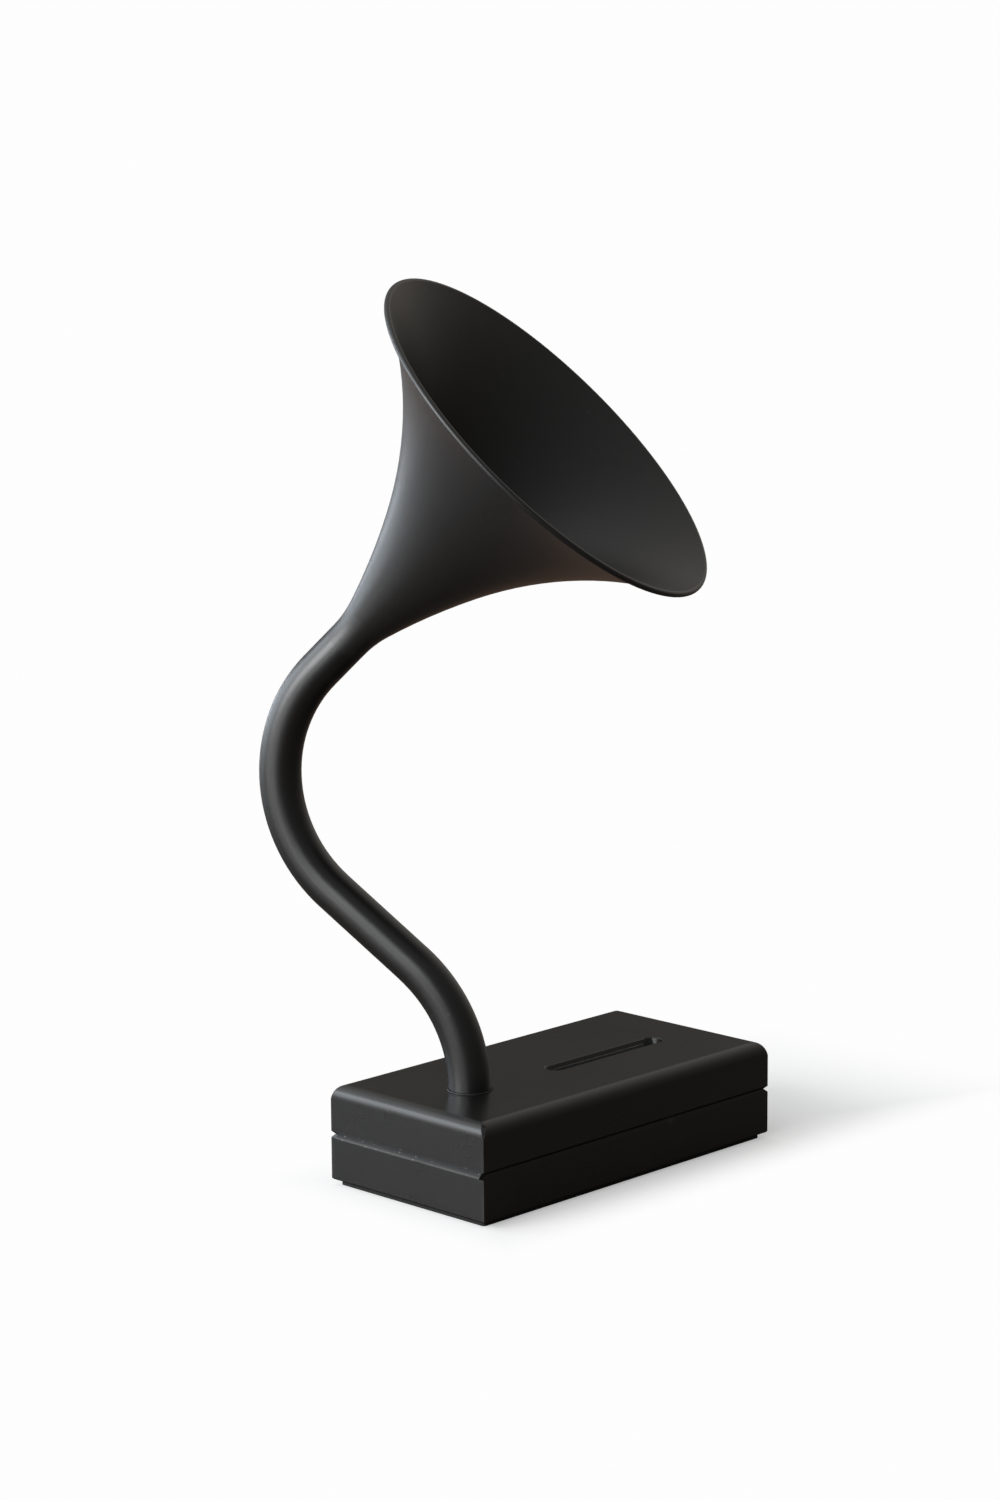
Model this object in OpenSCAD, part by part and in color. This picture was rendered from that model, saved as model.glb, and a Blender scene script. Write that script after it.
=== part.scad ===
// Passive gramophone horn for a telephone, in millimetres.
// The origin is on the resting face, under the middle of the base.
// X runs along the base, -Y is the front and +Z is up.

/* [Base] */
// Length of the base
base_l = 222.6; // [200:0.2:260]
// Depth of the base, front to back
base_w = 112.6; // [100:0.2:140]
// Thickness of the upper board
upper_t = 26.5; // [24:0.5:32]
// Thickness of the lower board
lower_t = 24.7; // [22:0.1:32]
// Thickness of the pad under the base
pad_t = 3; // [1.5:0.1:4]
// How far the pad is set in from the edges of the base
pad_inset = 3.4; // [2:0.1:8]
// Radius of the rounded top edges
top_edge_r = 6.5; // [2:0.5:10]
// Radius that softens the four top corners, across their mitres
top_corner_r = 9.5; // [4:0.5:12]
// Depth of the chamfers that form the groove between the boards
groove_d = 1.8; // [0.8:0.1:3]

/* [Telephone slot] */
// Length of the slot, end to end
slot_l = 88; // [70:1:100]
// Width of the slot, square to its walls
slot_t = 10.5; // [9:0.1:12]
// Lean of the slot from upright, top towards the back
slot_lean = 23.4; // [10:0.1:26]
// Place of the slot's mouth along the base
slot_x = 32.5; // [20:0.5:40]
// Place of the slot's mouth from front to back
slot_y = -6.8; // [-10:0.1:0]
// Thickness of the felt on the slot's walls
felt_t = 0.8; // [0.5:0.1:1.2]

/* [Neck] */
// Outer diameter of the neck tube
neck_d = 22.2; // [18:0.1:24]
// Wall of the neck tube
neck_wall = 1.5; // [1:0.1:2]
// Place of the neck's foot along the base
neck_x = -67.3; // [-72:0.1:-60]
// Place of the neck's foot from front to back
neck_y = -3; // [-10:0.1:10]
// Direction of the horn, from straight ahead towards the slot
neck_heading = 23.8; // [0:0.1:60]
// Straight rise of the neck above the base
foot_rise = 1; // [0:0.1:20]
// Radius of the lower bend, on the tube's axis
low_bend_r = 82; // [70:1:100]
// Angle of the lower bend
low_bend_a = 51.3; // [45:0.1:55]
// Straight stem between the bends
stem_l = 57; // [40:1:80]
// Radius of the upper bend, on the tube's axis
high_bend_r = 78.3; // [70:0.1:100]
// Angle of the upper bend
high_bend_a = 96.7; // [90:0.1:100]
// Straight end of the tube, up to the seam with the bell
throat_l = 20; // [14:0.5:24]

/* [Bell] */
// Sheet thickness of the bell
bell_wall = 0.8; // [0.6:0.1:1.2]
// Straight collar of the bell, from the seam to the flare
collar_l = 3.6; // [2:0.1:8]
// Radius of the flare at the throat
throat_arc_r = 60; // [40:1:80]
// Slope where the throat radius ends
throat_arc_a = 16; // [12:0.1:18]
// Radius of the middle of the flare
body_arc_r = 353; // [300:1:400]
// Slope where the middle radius ends
body_arc_a = 24.8; // [22:0.1:30]
// Radius of the flare towards the mouth
mouth_arc_r = 218; // [180:1:240]
// Slope of the flare at the rim
mouth_arc_a = 55.2; // [50:0.1:60]
// Diameter of the wire inside the rolled rim
rim_wire_d = 1.5; // [1:0.1:2]

/* [Hidden] */
$fn = 96;

// Heights of the boards
seam_z = pad_t + lower_t;
top_z = seam_z + upper_t;
corner_r = 0.5;
low_edge = 0.8;

// Clearances: between pieces that run on each other, that are pressed
// together, and that must not touch
run_gap = 0.05;
fit_gap = 0.02;
free_gap = 0.3;
over = 1;

// Slot, felts and the sound channel under them
slot_foot_y = slot_y - upper_t * tan(slot_lean);
slot_straight = slot_l - slot_t;
slot_ease = 0.5;
felt_below_mouth = 2.5;
felt_above_seam = 0.5;
wall_felt_l = 72;
floor_felt_l = 78;
floor_felt_w = 12;
floor_felt_t = 1.5;
duct_end = slot_x + 29.5;
duct_turn = slot_x - 46.5;
duct_w = 7;
duct_deep = 10;
duct_neck_w = 14;
duct_neck_deep = 14;
gasket_w = 2;
gasket_t = 1.5;

// Socket of the neck
neck_r = neck_d / 2;
bore_r = neck_r - neck_wall;
bush_r = 14.5;
bush_l = 22;
flange_r = 21;
flange_t = 3;
nose_wall = 0.8;
nose_r = neck_r + run_gap + nose_wall;
nose_rise = 0.7;
shoulder_r = 8.5;
seat_t = 1.5;
seat_bore_r = 8.7;
tube_end_z = seam_z + flange_t + seat_t;
ring_wire_r = 1;
ring_zs = [seam_z + 9, seam_z + 17];
ring_groove_w = 2.2;
ring_groove_d = 2.05;
hole_ease = 0.3;
bend_full = 0.03;
bend_lap = 0.5;
low_bend_z = top_z + foot_rise;

// Sleeve in the throat
sleeve_wall = 1.2;
sleeve_in_tube = 14;
sleeve_in_bell = 10;

// Rolled rim: the sheet closes round the wire and stops short of itself
curl_r = rim_wire_d / 2 + run_gap;
bead_r = curl_r + bell_wall;
curl_gap_a = 70;

// Fasteners
screw_x = 88;
screw_y = 43;
screw_r = 2;
screw_head_r = 4;
screw_head_h = 2.5;
screw_sink = 0.5;
screw_in_upper = 14;
dowel_x = 99;
dowel_r = 4;
dowel_half = 14;
small_screw_r = 1.3;
small_head_r = 2.4;
small_head_h = 1.4;
small_screw_l = 12;
small_screw_ring = 17.75;

// Stadium: a strip with round ends between two points
module strip(from, to, r) {
    run = to - from;
    translate(from)
        rotate(atan2(run[1], run[0])) {
            circle(r = r);
            translate([0, -r])
                square([norm(run), 2 * r]);
            translate([norm(run), 0])
                circle(r = r);
        }
}

// Rectangle with round corners, about the middle
module round_plate(l, w, r) {
    strip([-l / 2 + r, -w / 2 + r], [l / 2 - r, -w / 2 + r], r);
    strip([-l / 2 + r, w / 2 - r], [l / 2 - r, w / 2 - r], r);
    square([l, w - 2 * r], center = true);
}

// End view of the upper board: rounded above, chamfered below
module upper_profile(w) {
    polygon([
        [-w / 2 + groove_d, 0], [w / 2 - groove_d, 0],
        [w / 2, groove_d], [w / 2, upper_t - top_edge_r],
        [-w / 2, upper_t - top_edge_r], [-w / 2, groove_d]
    ]);
    translate([-w / 2 + top_edge_r, groove_d])
        square([w - 2 * top_edge_r, upper_t - groove_d]);
    for (side = [-1, 1])
        translate([side * (w / 2 - top_edge_r), upper_t - top_edge_r])
            circle(r = top_edge_r);
}

// End view of the lower board: chamfered above, eased below
module lower_profile(w) {
    polygon([
        [-w / 2 + low_edge, 0], [w / 2 - low_edge, 0],
        [w / 2, low_edge], [w / 2, lower_t - groove_d],
        [w / 2 - groove_d, lower_t], [-w / 2 + groove_d, lower_t],
        [-w / 2, lower_t - groove_d], [-w / 2, low_edge]
    ]);
}

// A board: its two end views meet in mitred corners, eased by a small radius
module board(t) {
    intersection() {
        rotate([90, 0, 0])
            linear_extrude(base_w + 2 * over, center = true)
                children(0);
        rotate([90, 0, 90])
            linear_extrude(base_l + 2 * over, center = true)
                children(1);
        linear_extrude(t)
            round_plate(base_l, base_w, corner_r);
    }
}

// Rounds two opposite top corners of the upper board, across their mitres
module across_corners(turn) {
    half = (base_l + base_w) / (2 * sqrt(2));
    rotate([90, 0, turn])
        linear_extrude(base_l + base_w, center = true) {
            translate([-half, -over])
                square([2 * half, upper_t - top_corner_r + over]);
            translate([-half + top_corner_r, -over])
                square([2 * (half - top_corner_r), upper_t + over]);
            for (side = [-1, 1])
                translate([side * (half - top_corner_r), upper_t - top_corner_r])
                    circle(r = top_corner_r);
        }
}

// Moves by whole millimetres and then by the rest, so that no digit is lost
module shift(v) {
    whole = [for (i = v) floor(i)];
    translate(whole)
        translate(v - whole)
            children();
}

// The slot's own frame: origin in the middle of its mouth, Z up its slope
module in_slot() {
    translate([slot_x, slot_y, top_z])
        rotate([-slot_lean, 0, 0])
            children();
}

// The neck's frame: origin on its axis, X towards the horn's heading
module in_neck() {
    translate([neck_x, neck_y, 0])
        rotate([0, 0, neck_heading - 90])
            children();
}

module at_stem() {
    shift([-low_bend_r * (1 - cos(low_bend_a)), 0, low_bend_z + low_bend_r * sin(low_bend_a)])
        rotate([0, -low_bend_a, 0])
            children();
}

module at_throat() {
    at_stem()
        shift([high_bend_r * (1 - cos(high_bend_a)), 0, stem_l + high_bend_r * sin(high_bend_a)])
            rotate([0, high_bend_a, 0])
                children();
}

// Cross-section of the neck tube; the wall is a touch fuller in the bends
module tube_ring(full) {
    difference() {
        circle(r = neck_r + full);
        circle(r = bore_r - full);
    }
}

// A bend of the tube, starting at the origin upwards and turning towards -X
module bend(axis_r, angle) {
    translate([-axis_r, 0, 0])
        rotate([90, 0, 0])
            rotate_extrude(angle = angle)
                translate([axis_r, 0])
                    tube_ring(bend_full);
}

// A straight of the tube, upwards from a height, lapping into the bends
module straight(from, length, lap_below, lap_above) {
    translate([0, 0, from - lap_below])
        linear_extrude(length + lap_below + lap_above)
            tube_ring(0);
}

// Plan of the sound channel from the slot to the neck, and of the gasket's loop
module duct_plan(slot_r, neck_r) {
    turn = [duct_turn, slot_foot_y];
    strip([neck_x, neck_y], turn, neck_r);
    strip(turn, [duct_end, slot_foot_y], slot_r);
}

module gasket_plan() {
    outer = flange_r + 2 + gasket_w;
    difference() {
        duct_plan(outer, outer);
        duct_plan(outer - gasket_w, outer - gasket_w);
    }
}

// Countersunk screw, head down at the origin, pointing up
module screw(head_r, head_h, r, l) {
    cylinder(h = head_h, r1 = head_r, r2 = r);
    cylinder(h = l - 2 * r, r = r);
    translate([0, 0, l - 2 * r])
        cylinder(h = 2 * r, r1 = r, r2 = r / 4);
}

module at_screws() {
    for (x = [-screw_x, screw_x], y = [-screw_y, screw_y])
        translate([x, y, pad_t + screw_sink])
            children();
}

module at_bush_screws() {
    in_neck()
        for (turn = [60, 180, 300])
            rotate([0, 0, turn])
                translate([small_screw_ring, 0, seam_z])
                    children();
}

module at_dowels(z) {
    for (side = [-1, 1])
        translate([side * dowel_x, 0, z])
            children();
}

// Cutter for the slot's mouth: in the top face the leaning slot is wider than
// slot_t, and the cutter flares from inside it to an even ease all round
module slot_mouth_cutter() {
    mouth_half = slot_t / 2 / cos(slot_lean);
    low_half = mouth_half - slot_ease * tan(slot_lean);
    high_half = 2 * (mouth_half + slot_ease) - low_half;
    end_x = slot_straight / 2 - mouth_half + slot_t / 2;
    translate([slot_x, slot_y, top_z - slot_ease]) {
        for (side = [-1, 1])
            translate([side * end_x, 0, 0])
                cylinder(h = 2 * slot_ease, r1 = low_half, r2 = high_half);
        rotate([90, 0, 90])
            linear_extrude(2 * end_x, center = true)
                polygon([
                    [-low_half, 0], [low_half, 0],
                    [high_half, 2 * slot_ease], [-high_half, 2 * slot_ease]
                ]);
    }
}

module upper_block() {
    color([0.09, 0.09, 0.09])
        difference() {
            translate([0, 0, seam_z])
                intersection() {
                    board(upper_t) {
                        upper_profile(base_l);
                        upper_profile(base_w);
                    }
                    across_corners(45);
                    across_corners(-45);
                }
            in_slot()
                linear_extrude(4 * upper_t, center = true)
                    strip([-slot_straight / 2, 0], [slot_straight / 2, 0], slot_t / 2);
            slot_mouth_cutter();
            in_neck() {
                hole_r = nose_r + fit_gap;
                translate([0, 0, seam_z - over])
                    cylinder(h = upper_t + 2 * over, r = hole_r);
                translate([0, 0, top_z - hole_ease])
                    cylinder(h = 2 * hole_ease, r1 = hole_r, r2 = hole_r + 2 * hole_ease);
                translate([0, 0, seam_z - over])
                    cylinder(h = bush_l + over, r = bush_r);
                translate([0, 0, seam_z - over])
                    cylinder(h = flange_t + over, r = flange_r);
            }
            at_bush_screws()
                translate([0, 0, flange_t - over])
                    cylinder(h = small_screw_l - flange_t + over, r = small_screw_r);
            at_screws()
                cylinder(h = lower_t - screw_sink + screw_in_upper, r = screw_r);
            at_dowels(seam_z - over)
                cylinder(h = dowel_half + 2 * over, r = dowel_r);
        }
}

module lower_block() {
    color([0.08, 0.08, 0.08])
        difference() {
            translate([0, 0, pad_t])
                board(lower_t) {
                    lower_profile(base_l);
                    lower_profile(base_w);
                }
            translate([0, 0, seam_z - duct_deep])
                linear_extrude(duct_deep + over)
                    duct_plan(duct_w / 2, duct_neck_w / 2);
            translate([0, 0, seam_z - duct_neck_deep])
                linear_extrude(duct_neck_deep + over)
                    strip([neck_x, neck_y], [duct_turn, slot_foot_y], duct_neck_w / 2);
            translate([0, 0, seam_z - floor_felt_t])
                linear_extrude(floor_felt_t + over)
                    floor_felt_plan();
            translate([0, 0, seam_z - gasket_t])
                linear_extrude(gasket_t + over)
                    gasket_plan();
            at_screws() {
                translate([0, 0, -over])
                    cylinder(h = over, r = screw_head_r);
                cylinder(h = screw_head_h, r1 = screw_head_r, r2 = screw_r);
                cylinder(h = lower_t + over, r = screw_r);
            }
            at_dowels(seam_z - dowel_half - over)
                cylinder(h = dowel_half + 2 * over, r = dowel_r);
        }
}

module base_pad() {
    color([0.05, 0.05, 0.05])
        linear_extrude(pad_t)
            round_plate(base_l - 2 * pad_inset, base_w - 2 * pad_inset, 2);
}

// One felt of the slot: side is -1 on the front wall and 1 on the back wall
module wall_felt(side) {
    color([0.04, 0.04, 0.04])
        intersection() {
            in_slot()
                translate([0, side * (slot_t - felt_t) / 2, 0])
                    cube([wall_felt_l, felt_t, 4 * upper_t], center = true);
            translate([0, 0, seam_z + felt_above_seam])
                linear_extrude(upper_t - felt_above_seam - felt_below_mouth)
                    square([base_l, base_w], center = true);
        }
}

module slot_front_felt() {
    wall_felt(-1);
}

module slot_back_felt() {
    wall_felt(1);
}

module floor_felt_plan() {
    reach = (floor_felt_l - floor_felt_w) / 2;
    strip([slot_x - reach, slot_foot_y], [slot_x + reach, slot_foot_y], floor_felt_w / 2);
}

module slot_floor_felt() {
    color([0.04, 0.04, 0.04])
        translate([0, 0, seam_z - floor_felt_t])
            linear_extrude(floor_felt_t)
                difference() {
                    floor_felt_plan();
                    strip([duct_turn, slot_foot_y], [duct_end, slot_foot_y], duct_w / 2);
                }
}

module duct_gasket() {
    color([0.12, 0.12, 0.12])
        translate([0, 0, seam_z - gasket_t])
            linear_extrude(gasket_t)
                gasket_plan();
}

module dowel_pins() {
    color([0.75, 0.6, 0.42])
        at_dowels(seam_z - dowel_half)
            cylinder(h = 2 * dowel_half, r = dowel_r);
}

module base_screws() {
    color([0.7, 0.7, 0.72])
        at_screws()
            screw(screw_head_r, screw_head_h, screw_r, lower_t - screw_sink + screw_in_upper);
}

// Bush with a flange below, a shoulder for the seat, two grooves for rings and a
// thin nose that lines the hole and stands a little proud round the neck's foot
module socket_bush() {
    nose_top = top_z + nose_rise - nose_wall / 2;
    color([0.1, 0.1, 0.1])
        difference() {
            in_neck()
                rotate_extrude()
                    difference() {
                        union() {
                            translate([shoulder_r, seam_z])
                                square([flange_r - shoulder_r, flange_t]);
                            translate([neck_r + run_gap, seam_z])
                                square([bush_r - neck_r - run_gap, bush_l]);
                            translate([neck_r + run_gap, seam_z])
                                square([nose_wall, nose_top - seam_z]);
                            translate([neck_r + run_gap + nose_wall / 2, nose_top])
                                circle(r = nose_wall / 2);
                        }
                        for (z = ring_zs)
                            translate([neck_r, z - ring_groove_w / 2])
                                square([ring_groove_d + run_gap, ring_groove_w]);
                    }
            at_bush_screws() {
                cylinder(h = small_head_h, r1 = small_head_r, r2 = small_screw_r);
                cylinder(h = flange_t + over, r = small_screw_r);
            }
        }
}

module bush_screws() {
    color([0.7, 0.7, 0.72])
        at_bush_screws()
            screw(small_head_r, small_head_h, small_screw_r, small_screw_l);
}

module socket_rings() {
    color([0.06, 0.06, 0.06])
        in_neck()
            for (z = ring_zs)
                translate([0, 0, z])
                    rotate_extrude()
                        translate([neck_r + run_gap + ring_wire_r, 0])
                            circle(r = ring_wire_r);
}

module seat_ring() {
    color([0.2, 0.2, 0.2])
        in_neck()
            translate([0, 0, tube_end_z - seat_t])
                rotate_extrude()
                    translate([seat_bore_r, 0])
                        square([neck_r - run_gap - seat_bore_r, seat_t]);
}

// Straight foot, lower bend, straight stem, upper bend and straight end
module neck_tube() {
    color([0.1, 0.1, 0.1])
        in_neck() {
            straight(tube_end_z, low_bend_z - tube_end_z, 0, bend_lap);
            translate([0, 0, low_bend_z])
                bend(low_bend_r, low_bend_a);
            at_stem() {
                straight(0, stem_l, bend_lap, bend_lap);
                translate([0, 0, stem_l])
                    rotate([0, 0, 180])
                        bend(high_bend_r, high_bend_a);
            }
            at_throat()
                straight(0, throat_l, bend_lap, 0);
        }
}

// Stepped sleeve: the lower part is in the tube, the upper part in the bell
module throat_sleeve() {
    tube_fit = bore_r - fit_gap;
    bell_fit = neck_r - bell_wall - fit_gap;
    color([0.72, 0.6, 0.3])
        in_neck()
            at_throat()
                translate([0, 0, throat_l])
                    rotate_extrude()
                        difference() {
                            union() {
                                translate([0, -sleeve_in_tube])
                                    square([tube_fit, sleeve_in_tube]);
                                square([bell_fit, sleeve_in_bell]);
                            }
                            translate([0, -sleeve_in_tube - over])
                                square([tube_fit - sleeve_wall, sleeve_in_tube + sleeve_in_bell + 2 * over]);
                        }
}

// The flare's three arcs meet with one slope. Each hollow side faces away from
// the axis, so the centres lie outside the bell. X is the radius, Y the height.
function sheet_side(a) = [-cos(a), sin(a)];
throat_centre = [neck_r + throat_arc_r, collar_l];
body_centre = throat_centre - (body_arc_r - throat_arc_r) * sheet_side(throat_arc_a);
mouth_centre = body_centre - (mouth_arc_r - body_arc_r) * sheet_side(body_arc_a);
bead_centre = mouth_centre + (mouth_arc_r + bell_wall - bead_r) * sheet_side(mouth_arc_a);

// Lines square to the sheet, from inside the bell to outside it
cross_in = 16;
cross_out = 5;
function cross_line(centre, r, a) = [
    centre + (r + cross_in) * sheet_side(a),
    centre + (r - cross_out) * sheet_side(a)
];
collar_line = cross_line(throat_centre, throat_arc_r, 0);
throat_line = cross_line(body_centre, body_arc_r, throat_arc_a);
body_line = cross_line(mouth_centre, mouth_arc_r, body_arc_a);
mouth_line = cross_line(mouth_centre, mouth_arc_r, mouth_arc_a);

// One arc of the sheet, cut off at two lines across it
module flare_arc(centre, r, from, to) {
    intersection() {
        shift(centre)
            difference() {
                circle(r = r + bell_wall);
                circle(r = r);
            }
        polygon([from[0], from[1], to[1], to[0]]);
    }
}

// The rolled rim: it starts at the sheet's end, turns outwards round the wire
// and stops short of the back of the sheet
module curl() {
    behind = 2 * bead_r * [-sin(mouth_arc_a), -cos(mouth_arc_a)];
    difference() {
        shift(bead_centre)
            difference() {
                circle(r = bead_r);
                circle(r = curl_r);
            }
        intersection() {
            polygon([mouth_line[0], mouth_line[1], mouth_line[1] + behind, mouth_line[0] + behind]);
            shift(bead_centre)
                rotate(180 - mouth_arc_a + curl_gap_a)
                    translate([0, -2 * bead_r])
                        square(2 * bead_r);
        }
    }
}

module bell_profile() {
    translate([neck_r - bell_wall, 0])
        square([bell_wall, collar_l]);
    flare_arc(throat_centre, throat_arc_r, collar_line, throat_line);
    flare_arc(body_centre, body_arc_r, throat_line, body_line);
    flare_arc(mouth_centre, mouth_arc_r, body_line, mouth_line);
    curl();
}

module in_bell() {
    in_neck()
        at_throat()
            translate([0, 0, throat_l])
                children();
}

module horn_bell() {
    color([0.1, 0.1, 0.1])
        in_bell()
            rotate_extrude()
                bell_profile();
}

module rim_wire() {
    color([0.6, 0.6, 0.62])
        in_bell()
            rotate_extrude()
                translate(bead_centre)
                    circle(r = rim_wire_d / 2);
}

upper_block();
lower_block();
base_pad();
slot_front_felt();
slot_back_felt();
slot_floor_felt();
duct_gasket();
dowel_pins();
base_screws();
socket_bush();
bush_screws();
socket_rings();
seat_ring();
neck_tube();
throat_sleeve();
horn_bell();
rim_wire();
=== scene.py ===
# Finish, camera and studio for a passive gramophone: a satin black horn on a bent
# neck, in a black wooden base with a slot. Everything is in metres, in the frame of
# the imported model: X along the base, -Y to the front, Z up.
import math

import bpy
from mathutils import Matrix, Vector


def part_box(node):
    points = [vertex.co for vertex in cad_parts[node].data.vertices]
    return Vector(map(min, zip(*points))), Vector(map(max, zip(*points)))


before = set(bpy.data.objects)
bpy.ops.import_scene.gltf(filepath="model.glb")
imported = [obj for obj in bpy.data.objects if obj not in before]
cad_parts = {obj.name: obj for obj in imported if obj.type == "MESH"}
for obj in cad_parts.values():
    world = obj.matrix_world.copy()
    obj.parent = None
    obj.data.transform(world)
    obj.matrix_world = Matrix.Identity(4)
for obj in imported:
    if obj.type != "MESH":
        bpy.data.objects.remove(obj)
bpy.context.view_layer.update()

MM = 0.001

# Sizes of the base, from the frame
board_low, board_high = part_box("upper_block")
SEAM_Z = board_low.z
TOP_Z = board_high.z
BASE_HALF_L = board_high.x
BASE_HALF_W = board_high.y
GROOVE_DEPTH = 1.8 * MM

# Camera: matched to the photograph's view of the base and the horn
CAMERA_PLACE = (-1.348, -1.275, 0.563)
CAMERA_AZIMUTH = math.radians(-45.74)
CAMERA_PITCH = math.radians(10.33)
CAMERA_ROLL = math.radians(-0.40)
CAMERA_LENS = 85.85
CAMERA_SENSOR = 36
CAMERA_CLIP = (0.05, 200)

# Directions are a compass heading, from +Y towards +X, and a height above the horizon, in
# degrees. Lamps hang round AIM and face it: direction, distance in metres, width and
# height in degrees, brightness, colour.
AIM = Vector((-0.03, 0, 0.2))
DAYLIGHT = (0.97, 0.985, 1.0)
SKYLIGHT = (0.88, 0.98, 1.08)
LAMPS = {
    "window": (-69, 17, 4, 34, 31, 6.7, DAYLIGHT),
    "back_window": (-25, 13, 4, 36, 30, 2.9, SKYLIGHT),
    "low_window": (8, 4, 4, 15, 12, 3.8, SKYLIGHT),
    "side_window": (-108, 18, 4, 32, 26, 2.7, DAYLIGHT),
    "sill": (-94, -3, 1.6, 22, 9, 3.0, DAYLIGHT),
}
# The dim room in reflections: its colours at the horizon and overhead, the power by which
# it brightens between them, a dark corner (direction, spread in degrees) and glows
# (direction, spread in degrees, colour, brightness)
ROOM_LOW = (0.042, 0.039, 0.036, 1)
ROOM_HIGH = (0.18, 0.18, 0.18, 1)
ROOM_RISE = 1.8
DARK_CORNER = (47, 11, 11)
GLOWS = {
    "window_wall": (-30, 41, 36, (0.97, 0.985, 1.0, 1), 1.0),
    "warm_wall": (80, 21, 34, (1.0, 0.93, 0.82, 1), 0.46),
    "near_wall": (-175, 22, 38, (1.0, 1.0, 1.0, 1), 0.03),
}
# White surroundings: their colour, and their share in a reflection
WHITE = (0.985, 0.985, 0.985, 1)
WHITE_IN_GLOSS = 0.02
# White floor: its paint and its own light, and where the shadow fades to plain white
# beyond the base's long sides, its right end and its left end
FLOOR_HALF = 30
FLOOR_COLOUR = (0.8, 0.8, 0.8, 1)
FLOOR_OWN_LIGHT = 0.34
SIDE_FADE = (-0.012, 0.046)
RIGHT_FADE = (0.05, 0.2)
LEFT_FADE = (-0.02, 0.03)
# Brown table that reflections show in place of the floor: its wood, a pool of sunlight painted
# paler into the wood's colour, to the right of and behind the base, and its polish
TABLE_COLOUR = (0.06, 0.038, 0.027, 1)
TABLE_PAINTED_SUN = (0.38, 0.21, 0.13, 1)
PAINTED_SUN_FROM_X = (0.0, 0.3)
PAINTED_SUN_FROM_Y = (0.1, 0.4)
TABLE_SHEEN = (0.64, 0.63, 0.615, 1)
TABLE_ROUGHNESS = 0.3
TABLE_IOR = 1.55

# Paints: their index, and each one's roughness, depth of texture and colours. A pair of
# values runs along the slow clouds in the coat, between the two levels of CLOUD_RANGE.
PAINT_IOR = 1.7
CLOUD_RANGE = (0.3, 0.7)
BOARD_ROUGHNESS = (0.265, 0.29)
NECK_ROUGHNESS = (0.32, 0.36)
HORN_ROUGHNESS = (0.38, 0.42)
BOARD_BUMP = 0.008 * MM
HORN_BUMP = 0.012 * MM
NECK_SHADES = (0.005, 0.0075)
HORN_SHADES = (0.0085, 0.0115)
HORN_SPECK = (0.05, 0.05, 0.05, 1)
BOARD_THICK = (0.004, 0.004, 0.0041, 1)
BOARD_THIN = (0.0065, 0.0064, 0.0063, 1)
BOARD_RUBBED = (0.026, 0.025, 0.024, 1)
# A highlight painted along the groove's lower arris, at the ends
BOARD_LIP_HIGHLIGHT = (0.06, 0.059, 0.058, 1)
BOARD_DUST = (0.22, 0.21, 0.2, 1)
BOARD_CHIP = (0.035, 0.033, 0.031, 1)
# Wear of the boards and a painted highlight, as the distances between which each kind fades:
# from the edges, from the seam, from the groove's lower arris, where a highlight is painted,
# and from the one chip. The rubbed edges and the painted highlight come and go with the clouds.
RUBBED_FADE = (0.0, 3.2 * MM)
RUBBED_CLOUDS = (0.42, 0.68)
GROOVE_FADE = (GROOVE_DEPTH, 1.3 * GROOVE_DEPTH)
LIP_HIGHLIGHT_FADE = (0.2 * MM, 0.7 * MM)
LIP_HIGHLIGHT_CLOUDS = (0.3, 0.6)
CHIP_FADE = (0.6 * MM, 3.2 * MM)
CHIP_PLACE = (31.5 * MM, -56.3 * MM, 27.3 * MM)
# A speck of dust, in cells' widths from its middle, and how much dust dulls the paint
SPECK_FADE = (0.12, 0.34)
DUST_DULLNESS = 0.4
# How far paint that has run into the groove rounds it, along the front and the back
GROOVE_ROUNDING = 0.9
# The wood's grain runs along X; its share of the boards' texture, beside the paint's peel
GRAIN_STRETCH = (6, 90, 90)
GRAIN_SHARE = 0.7

FELT_DARK = (0.004, 0.004, 0.004, 1)
FELT_LIGHT = (0.016, 0.016, 0.016, 1)
FELT_LINT = (0.06, 0.06, 0.06, 1)
FELT_BUMP = 0.12 * MM
# Small and hidden pieces: two near colours, roughness, scale and depth of the texture,
# metallic share
PLAIN_FINISHES = {
    "rubber": ((0.008, 0.008, 0.008, 1), (0.014, 0.014, 0.014, 1), 0.8, 1500.0, 0.02 * MM, 0.0),
    "screw_steel": ((0.5, 0.5, 0.52, 1), (0.62, 0.62, 0.64, 1), 0.35, 2500.0, 0.004 * MM, 1.0),
    "sleeve_brass": ((0.6, 0.44, 0.18, 1), (0.72, 0.54, 0.24, 1), 0.3, 2500.0, 0.004 * MM, 1.0),
    "bush_plastic": ((0.012, 0.012, 0.012, 1), (0.02, 0.02, 0.02, 1), 0.5, 2000.0, 0.006 * MM, 0.0),
    "dowel_wood": ((0.46, 0.3, 0.16, 1), (0.6, 0.42, 0.25, 1), 0.7, 900.0, 0.03 * MM, 0.0),
}
FINISHED_WITH = {
    "board_paint": ["upper_block", "lower_block"],
    "rubber": ["base_pad", "duct_gasket", "socket_rings", "seat_ring"],
    "slot_felt": ["slot_front_felt", "slot_back_felt", "slot_floor_felt"],
    "dowel_wood": ["dowel_pins"],
    "screw_steel": ["base_screws", "bush_screws", "rim_wire"],
    "bush_plastic": ["socket_bush"],
    "neck_paint": ["neck_tube"],
    "sleeve_brass": ["throat_sleeve"],
    "horn_paint": ["horn_bell"],
}


def place(tree, kind, values=(), **settings):
    """Adds a node; values sets its inputs, or joins them where a value is a socket."""
    node = tree.nodes.new(kind)
    for name, value in settings.items():
        setattr(node, name, value)
    for name, value in dict(values).items():
        if isinstance(value, bpy.types.NodeSocket):
            tree.links.new(value, node.inputs[name])
        else:
            node.inputs[name].default_value = value
    return node


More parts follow.
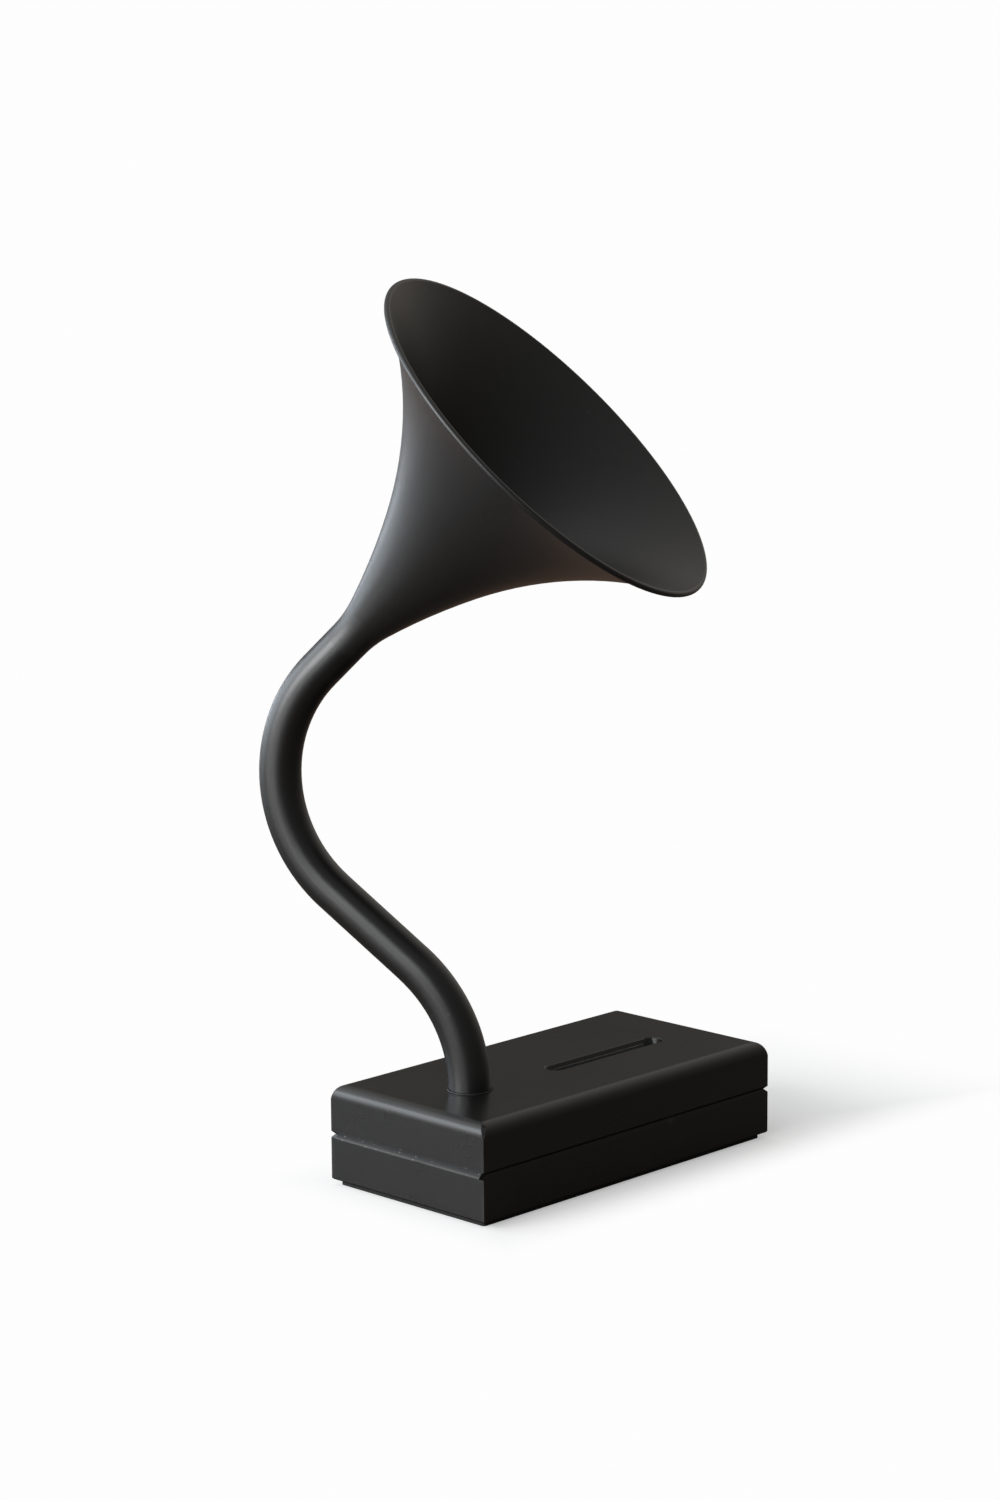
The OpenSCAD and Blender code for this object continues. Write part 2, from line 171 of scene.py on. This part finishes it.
def maths(tree, operation, *values, clamp=False):
    """Adds a Math node and returns its result."""
    values = enumerate(values)
    return place(tree, "ShaderNodeMath", values, operation=operation, use_clamp=clamp).outputs[0]


def product(tree, result, *factors):
    """All the values multiplied together."""
    for factor in factors:
        result = maths(tree, "MULTIPLY", result, factor)
    return result


def gap(tree, value, level):
    """How far a value is from a level, on either side."""
    return maths(tree, "ABSOLUTE", maths(tree, "SUBTRACT", value, level))


def ramp_between(tree, value, low, high):
    """0 below low, 1 above high and a smooth rise between them."""
    limits = {"Value": value, "From Min": low, "From Max": high}
    ramp = place(tree, "ShaderNodeMapRange", limits, interpolation_type="SMOOTHSTEP")
    return ramp.outputs["Result"]


def fade_between(tree, value, low, high):
    """1 below low, 0 above high and a smooth fall between them."""
    return maths(tree, "SUBTRACT", 1.0, ramp_between(tree, value, low, high))


def cloud_between(tree, cloud, low, high):
    """Turns the slow clouds in a coat into values from low to high."""
    thick, thin = CLOUD_RANGE
    limits = {"Value": cloud, "From Min": thick, "From Max": thin, "To Min": low, "To Max": high}
    return place(tree, "ShaderNodeMapRange", limits).outputs["Result"]


def mixed_colour(tree, share, first, second):
    """The first colour where share is 0 and the second where it is 1."""
    colours = {0: share, 6: first, 7: second}
    return place(tree, "ShaderNodeMix", colours, data_type="RGBA").outputs[2]


def noise(tree, where, scale, detail, roughness, distortion=0.0):
    """A fractal noise, from 0 to 1."""
    values = {
        "Vector": where,
        "Scale": scale,
        "Detail": detail,
        "Roughness": roughness,
        "Distortion": distortion,
    }
    return place(tree, "ShaderNodeTexNoise", values).outputs["Fac"]


def bumped(tree, height, depth, normal=None):
    """A normal from a height between 0 and 1 that stands for depth metres."""
    node = place(tree, "ShaderNodeBump", {"Height": height, "Distance": depth, "Strength": 1.0})
    if normal is not None:
        tree.links.new(normal, node.inputs["Normal"])
    return node.outputs["Normal"]


def turned_flat(tree, share, outward):
    """The surface's normal, turned by share towards the side that outward faces."""
    true = place(tree, "ShaderNodeNewGeometry").outputs["Normal"]
    flat = place(tree, "ShaderNodeCombineXYZ", {"Y": maths(tree, "SIGN", outward)}).outputs[0]
    mixed = place(tree, "ShaderNodeMix", {0: share, 4: true, 5: flat}, data_type="VECTOR")
    turned = place(tree, "ShaderNodeVectorMath", {0: mixed.outputs[1]}, operation="NORMALIZE")
    return turned.outputs[0]


def new_group(name, inputs, outputs):
    """Starts a shader node group. It takes the object's coordinates as Place, and inputs and
    outputs give its other values, as {socket name: default value}."""
    tree = bpy.data.node_groups.new(name, "ShaderNodeTree")
    tree.interface.new_socket("Place", in_out="INPUT", socket_type="NodeSocketVector")
    for in_out, sockets in (("INPUT", inputs), ("OUTPUT", outputs)):
        for label, value in sockets.items():
            socket = tree.interface.new_socket(
                label, in_out=in_out, socket_type="NodeSocketFloat"
            )
            socket.default_value = value
    taken = tree.nodes.new("NodeGroupInput")
    given = tree.nodes.new("NodeGroupOutput")
    return tree, taken.outputs, given.inputs


def use_group(tree, group, **values):
    """Places a group in a material; the values' names are its inputs', with _ for a space."""
    values = {name.replace("_", " "): value for name, value in values.items()}
    return place(tree, "ShaderNodeGroup", values, node_tree=group).outputs


def make_spray_texture():
    """Sprayed paint: a fine peel, and slow clouds where the coat is thicker or thinner."""
    tree, taken, given = new_group(
        "spray_texture", {"Peel Scale": 900.0, "Cloud Scale": 22.0}, {"Height": 0.0, "Cloud": 0.0}
    )
    peel = noise(tree, taken["Place"], taken["Peel Scale"], detail=3.0, roughness=0.55)
    cloud = noise(tree, taken["Place"], taken["Cloud Scale"], detail=4.0, roughness=0.6)
    tree.links.new(peel, given["Height"])
    tree.links.new(cloud, given["Cloud"])
    return tree


def make_dust_flecks():
    """Sparse pale specks of dust, where the mask lets them settle."""
    tree, taken, given = new_group(
        "dust_flecks", {"Scale": 450.0, "Amount": 0.2, "Mask": 1.0}, {"Flecks": 0.0}
    )
    spread = {"Vector": taken["Place"], "Scale": taken["Scale"], "Randomness": 1.0}
    cells = place(tree, "ShaderNodeTexVoronoi", spread).outputs
    speck = fade_between(tree, cells["Distance"], *SPECK_FADE)
    draw = place(tree, "ShaderNodeSeparateColor", {"Color": cells["Color"]}).outputs["Red"]
    kept = maths(tree, "LESS_THAN", draw, taken["Amount"])
    tree.links.new(product(tree, speck, kept, taken["Mask"]), given["Flecks"])
    return tree


def new_material(name, **constants):
    """A material with one Principled shader; the constants are set on the shader's sockets."""
    material = bpy.data.materials.new(name)
    material.use_nodes = True
    tree = material.node_tree
    shader = tree.nodes["Principled BSDF"]
    for label, value in constants.items():
        shader.inputs[label.replace("_", " ")].default_value = value
    where = place(tree, "ShaderNodeTexCoord").outputs["Object"]
    return material, tree, shader.inputs, where


def board_paint(spray, flecks):
    """Satin black paint over fine-grained wood, rubbed paler on the edges and dusty in the
    groove, which is a thin dark line along the front and the back. A highlight is painted
    along the groove's lower arris at the ends."""
    material, tree, shader, where = new_material("board_paint", IOR=PAINT_IOR)
    axes = place(tree, "ShaderNodeSeparateXYZ", {"Vector": where}).outputs
    along = place(tree, "ShaderNodeMapping", {"Vector": where, "Scale": GRAIN_STRETCH})
    grain = noise(tree, along.outputs["Vector"], 6.0, detail=6.0, roughness=0.65)
    paint = use_group(tree, spray, Place=where, Peel_Scale=700.0, Cloud_Scale=18.0)

    # Distance to the nearest edge of the block: the second smallest of three distances
    from_end = maths(tree, "SUBTRACT", BASE_HALF_L, maths(tree, "ABSOLUTE", axes["X"]))
    from_side = maths(tree, "SUBTRACT", BASE_HALF_W, maths(tree, "ABSOLUTE", axes["Y"]))
    from_top = maths(tree, "SUBTRACT", TOP_Z, axes["Z"])
    nearer = maths(tree, "MINIMUM", from_end, from_side)
    farther = maths(tree, "MAXIMUM", from_end, from_side)
    from_edge = maths(tree, "MAXIMUM", nearer, maths(tree, "MINIMUM", farther, from_top))

    # Where the paint is rubbed, dusty and chipped, and where a highlight is painted on the
    # groove's lower arris, from 0 to 1
    rubbed = fade_between(tree, from_edge, *RUBBED_FADE)
    rubbed = product(tree, rubbed, ramp_between(tree, paint["Cloud"], *RUBBED_CLOUDS))
    in_groove = fade_between(tree, gap(tree, axes["Z"], SEAM_Z), *GROOVE_FADE)
    on_long_side = maths(tree, "LESS_THAN", from_side, 2 * GROOVE_DEPTH)
    on_end = maths(tree, "SUBTRACT", 1.0, on_long_side)
    # A highlight painted along the groove's lower arris, on the ends only, in the clouds
    lip_highlight = fade_between(tree, gap(tree, axes["Z"], SEAM_Z - GROOVE_DEPTH), *LIP_HIGHLIGHT_FADE)
    lip_highlight = product(tree, lip_highlight, on_end, ramp_between(tree, paint["Cloud"], *LIP_HIGHLIGHT_CLOUDS))
    dusty = product(tree, in_groove, on_end)
    dust = use_group(tree, flecks, Place=where, Scale=520.0, Amount=0.2, Mask=dusty)["Flecks"]
    to_chip = place(tree, "ShaderNodeVectorMath", {0: where, 1: CHIP_PLACE}, operation="DISTANCE")
    chip = fade_between(tree, to_chip.outputs["Value"], *CHIP_FADE)

    body = mixed_colour(tree, paint["Cloud"], BOARD_THICK, BOARD_THIN)
    # The wear, and the highlight painted on the groove's lower arris, over the body colour
    wear_and_highlight = ((rubbed, BOARD_RUBBED), (lip_highlight, BOARD_LIP_HIGHLIGHT), (dust, BOARD_DUST), (chip, BOARD_CHIP))
    for share, colour in wear_and_highlight:
        body = mixed_colour(tree, share, body, colour)
    tree.links.new(body, shader["Base Color"])

    rough = cloud_between(tree, paint["Cloud"], *BOARD_ROUGHNESS)
    rough = maths(tree, "ADD", rough, product(tree, dust, DUST_DULLNESS), clamp=True)
    tree.links.new(rough, shader["Roughness"])

    peel = product(tree, paint["Height"], 1 - GRAIN_SHARE)
    height = maths(tree, "ADD", product(tree, grain, GRAIN_SHARE), peel)
    on_lower = maths(tree, "LESS_THAN", axes["Z"], SEAM_Z)
    share = product(tree, in_groove, on_long_side, on_lower, GROOVE_ROUNDING)
    normal = turned_flat(tree, share, axes["Y"])
    tree.links.new(bumped(tree, height, BOARD_BUMP, normal), shader["Normal"])
    return material


def horn_paint(name, spray, flecks, peel_scale, shades, roughness):
    """Satin black powder coat on metal: a fine even peel and a few specks of dust."""
    thick, thin = [(shade, shade, shade, 1) for shade in shades]
    material, tree, shader, where = new_material(name, IOR=PAINT_IOR)
    coat = use_group(tree, spray, Place=where, Peel_Scale=peel_scale, Cloud_Scale=14.0)
    dust = use_group(tree, flecks, Place=where, Scale=300.0, Amount=0.012, Mask=0.5)["Flecks"]
    body = mixed_colour(tree, coat["Cloud"], thick, thin)
    tree.links.new(mixed_colour(tree, dust, body, HORN_SPECK), shader["Base Color"])
    tree.links.new(cloud_between(tree, coat["Cloud"], *roughness), shader["Roughness"])
    tree.links.new(bumped(tree, coat["Height"], HORN_BUMP), shader["Normal"])
    return material


def plain_finish(name, spray, dark, light, rough, peel_scale, depth, metal):
    """Two near colours in clouds over a fine texture."""
    material, tree, shader, where = new_material(name, Roughness=rough, Metallic=metal)
    skin = use_group(tree, spray, Place=where, Peel_Scale=peel_scale, Cloud_Scale=120.0)
    tree.links.new(mixed_colour(tree, skin["Cloud"], dark, light), shader["Base Color"])
    tree.links.new(bumped(tree, skin["Height"], depth), shader["Normal"])
    return material


def wool_felt(flecks):
    """Black felt: matted fibres that catch a little light, and some lint."""
    material, tree, shader, where = new_material(
        "slot_felt", Roughness=0.95, Specular_IOR_Level=0.1, Sheen_Weight=0.3, Sheen_Roughness=0.6
    )
    fibre = noise(tree, where, 1600.0, detail=5.0, roughness=0.8, distortion=1.5)
    lint = use_group(tree, flecks, Place=where, Scale=600.0, Amount=0.03, Mask=1.0)["Flecks"]
    body = mixed_colour(tree, fibre, FELT_DARK, FELT_LIGHT)
    tree.links.new(mixed_colour(tree, lint, body, FELT_LINT), shader["Base Color"])
    tree.links.new(bumped(tree, fibre, FELT_BUMP), shader["Normal"])
    return material


def finish_nodes():
    """Gives every node of the model its finish."""
    spray = make_spray_texture()
    flecks = make_dust_flecks()
    finishes = {
        name: plain_finish(name, spray, *values) for name, values in PLAIN_FINISHES.items()
    }
    finishes["board_paint"] = board_paint(spray, flecks)
    finishes["neck_paint"] = horn_paint(
        "neck_paint", spray, flecks, 1100.0, NECK_SHADES, NECK_ROUGHNESS
    )
    finishes["horn_paint"] = horn_paint(
        "horn_paint", spray, flecks, 1000.0, HORN_SHADES, HORN_ROUGHNESS
    )
    finishes["slot_felt"] = wool_felt(flecks)
    for finish, names in FINISHED_WITH.items():
        for name in names:
            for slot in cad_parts[name].material_slots:
                slot.material = finishes[finish]


def make_camera():
    """The photograph's view, from the front left and a little above."""
    data = bpy.data.cameras.new("camera")
    data.lens = CAMERA_LENS
    data.sensor_width = CAMERA_SENSOR
    data.clip_start, data.clip_end = CAMERA_CLIP
    camera = bpy.data.objects.new("camera", data)
    bpy.context.scene.collection.objects.link(camera)
    a, t, r = CAMERA_AZIMUTH, CAMERA_PITCH, CAMERA_ROLL
    back = Vector((math.sin(a) * math.cos(t), -math.cos(a) * math.cos(t), math.sin(t)))
    level = Vector((math.cos(a), math.sin(a), 0))
    upright = back.cross(level)
    right = level * math.cos(r) + upright * math.sin(r)
    up = upright * math.cos(r) - level * math.sin(r)
    turn = Matrix((right, up, back)).transposed().to_4x4()
    camera.matrix_world = Matrix.Translation(CAMERA_PLACE) @ turn
    bpy.context.scene.camera = camera


def compass(heading, height):
    """The direction of a compass heading and a height above the horizon, in degrees."""
    a, e = math.radians(heading), math.radians(height)
    return Vector((math.sin(a) * math.cos(e), math.cos(a) * math.cos(e), math.sin(e)))


def share_of_white(tree):
    """How much of the white surroundings a ray sees: all from the camera and through glass,
    and a little in a reflection, because satin black shows the darker room round it."""
    rays = place(tree, "ShaderNodeLightPath").outputs
    straight = maths(tree, "MAXIMUM", rays["Is Camera Ray"], rays["Is Transmission Ray"])
    return maths(tree, "MAXIMUM", straight, product(tree, rays["Is Glossy Ray"], WHITE_IN_GLOSS))


def white_floor(tree, axes):
    """White floor that keeps the shadow near the object and fades to plain white round it."""
    lit = place(tree, "ShaderNodeBsdfDiffuse", {"Color": FLOOR_COLOUR})
    own = place(tree, "ShaderNodeEmission", {"Color": WHITE, "Strength": FLOOR_OWN_LIGHT})
    near = place(tree, "ShaderNodeAddShader", {0: lit.outputs[0], 1: own.outputs[0]})
    plain = place(tree, "ShaderNodeEmission", {"Color": WHITE, "Strength": 1.0})
    leftward = product(tree, axes["X"], -1.0)
    far = 0.0
    for distance, edge, fade in (
        (maths(tree, "ABSOLUTE", axes["Y"]), BASE_HALF_W, SIDE_FADE),
        (axes["X"], BASE_HALF_L, RIGHT_FADE),
        (leftward, BASE_HALF_L, LEFT_FADE),
    ):
        past = maths(tree, "SUBTRACT", distance, edge)
        far = maths(tree, "MAXIMUM", far, ramp_between(tree, past, *fade))
    values = {0: far, 1: near.outputs[0], 2: plain.outputs[0]}
    return place(tree, "ShaderNodeMixShader", values).outputs[0]


def brown_table(tree, axes):
    """Polished brown wood, with a pool of sunlight painted paler into its colour."""
    painted_sun_x = ramp_between(tree, axes["X"], *PAINTED_SUN_FROM_X)
    painted_sun_y = ramp_between(tree, axes["Y"], *PAINTED_SUN_FROM_Y)
    # The wood's colour with a pool of sunlight painted into it, to the right of and behind the base
    brown = mixed_colour(tree, product(tree, painted_sun_x, painted_sun_y), TABLE_COLOUR, TABLE_PAINTED_SUN)
    wood = place(tree, "ShaderNodeBsdfDiffuse", {"Color": brown})
    polish = {"Color": TABLE_SHEEN, "Roughness": TABLE_ROUGHNESS}
    sheen = place(tree, "ShaderNodeBsdfAnisotropic", polish)
    grazing = place(tree, "ShaderNodeFresnel", {"IOR": TABLE_IOR}).outputs[0]
    values = {0: grazing, 1: wood.outputs[0], 2: sheen.outputs[0]}
    return place(tree, "ShaderNodeMixShader", values).outputs[0]


def floor_material():
    """White floor to the camera, and mostly a brown table in reflections."""
    material = bpy.data.materials.new("floor")
    material.use_nodes = True
    tree = material.node_tree
    tree.nodes.clear()
    where = place(tree, "ShaderNodeTexCoord").outputs["Object"]
    axes = place(tree, "ShaderNodeSeparateXYZ", {"Vector": where}).outputs
    values = {0: share_of_white(tree), 1: brown_table(tree, axes), 2: white_floor(tree, axes)}
    seen = place(tree, "ShaderNodeMixShader", values)
    place(tree, "ShaderNodeOutputMaterial", {"Surface": seen.outputs[0]})
    return material


def lay_floor():
    """A flat square under the object, facing up."""
    half = FLOOR_HALF
    corners = [(-half, -half, 0), (half, -half, 0), (half, half, 0), (-half, half, 0)]
    mesh = bpy.data.meshes.new("floor")
    mesh.from_pydata(corners, [], [(0, 1, 2, 3)])
    mesh.materials.append(floor_material())
    sheet = bpy.data.objects.new("floor", mesh)
    bpy.context.scene.collection.objects.link(sheet)


def hang_lamp(name, heading, height, distance, width, tall, brightness, colour):
    """A soft rectangular lamp round the object, out of the camera's sight."""
    data = bpy.data.lights.new(name, "AREA")
    data.shape = "RECTANGLE"
    data.size = 2 * distance * math.tan(math.radians(width / 2))
    data.size_y = 2 * distance * math.tan(math.radians(tall / 2))
    data.energy = brightness * math.pi * data.size * data.size_y
    data.color = colour
    lamp = bpy.data.objects.new(name, data)
    bpy.context.scene.collection.objects.link(lamp)
    lamp.location = AIM + distance * compass(heading, height)
    lamp.rotation_euler = (AIM - lamp.location).to_track_quat("-Z", "Y").to_euler()
    lamp.visible_camera = False


def glow(tree, view, heading, height, spread):
    """1 in one direction of the room, fading evenly over spread degrees round it."""
    values = {0: view, 1: compass(heading, height)}
    facing = place(tree, "ShaderNodeVectorMath", values, operation="DOT_PRODUCT")
    short_of = maths(tree, "SUBTRACT", facing.outputs["Value"], 1.0)
    width = 1 - math.cos(math.radians(spread))
    return maths(tree, "EXPONENT", maths(tree, "DIVIDE", short_of, width))


def make_room():
    """The world: white to the camera, and a dim room with a few glows in reflections."""
    world = bpy.data.worlds.new("room")
    bpy.context.scene.world = world
    world.use_nodes = True
    tree = world.node_tree
    tree.nodes.clear()
    view = place(tree, "ShaderNodeTexCoord").outputs["Generated"]
    upward = place(tree, "ShaderNodeSeparateXYZ", {"Vector": view}).outputs["Z"]
    rise = maths(tree, "POWER", maths(tree, "MAXIMUM", upward, 0.0), ROOM_RISE)
    colour = mixed_colour(tree, rise, ROOM_LOW, ROOM_HIGH)
    room = place(tree, "ShaderNodeBackground", {"Color": colour, "Strength": 1.0})
    for heading, height, spread, tint, brightness in GLOWS.values():
        strength = product(tree, glow(tree, view, heading, height, spread), brightness)
        patch = place(tree, "ShaderNodeBackground", {"Color": tint, "Strength": strength})
        room = place(tree, "ShaderNodeAddShader", {0: room.outputs[0], 1: patch.outputs[0]})
    black = place(tree, "ShaderNodeBackground", {"Strength": 0.0})
    corner = {0: glow(tree, view, *DARK_CORNER), 1: room.outputs[0], 2: black.outputs[0]}
    room = place(tree, "ShaderNodeMixShader", corner)
    white = place(tree, "ShaderNodeBackground", {"Color": WHITE, "Strength": 1.0})
    values = {0: share_of_white(tree), 1: room.outputs[0], 2: white.outputs[0]}
    shown = place(tree, "ShaderNodeMixShader", values)
    place(tree, "ShaderNodeOutputWorld", {"Surface": shown.outputs[0]})


def make_studio():
    """White floor and surroundings, with soft window lights from the left to the back."""
    lay_floor()
    for name, values in LAMPS.items():
        hang_lamp(name, *values)
    make_room()
    bpy.context.scene.view_settings.view_transform = "Standard"


finish_nodes()
make_camera()
make_studio()
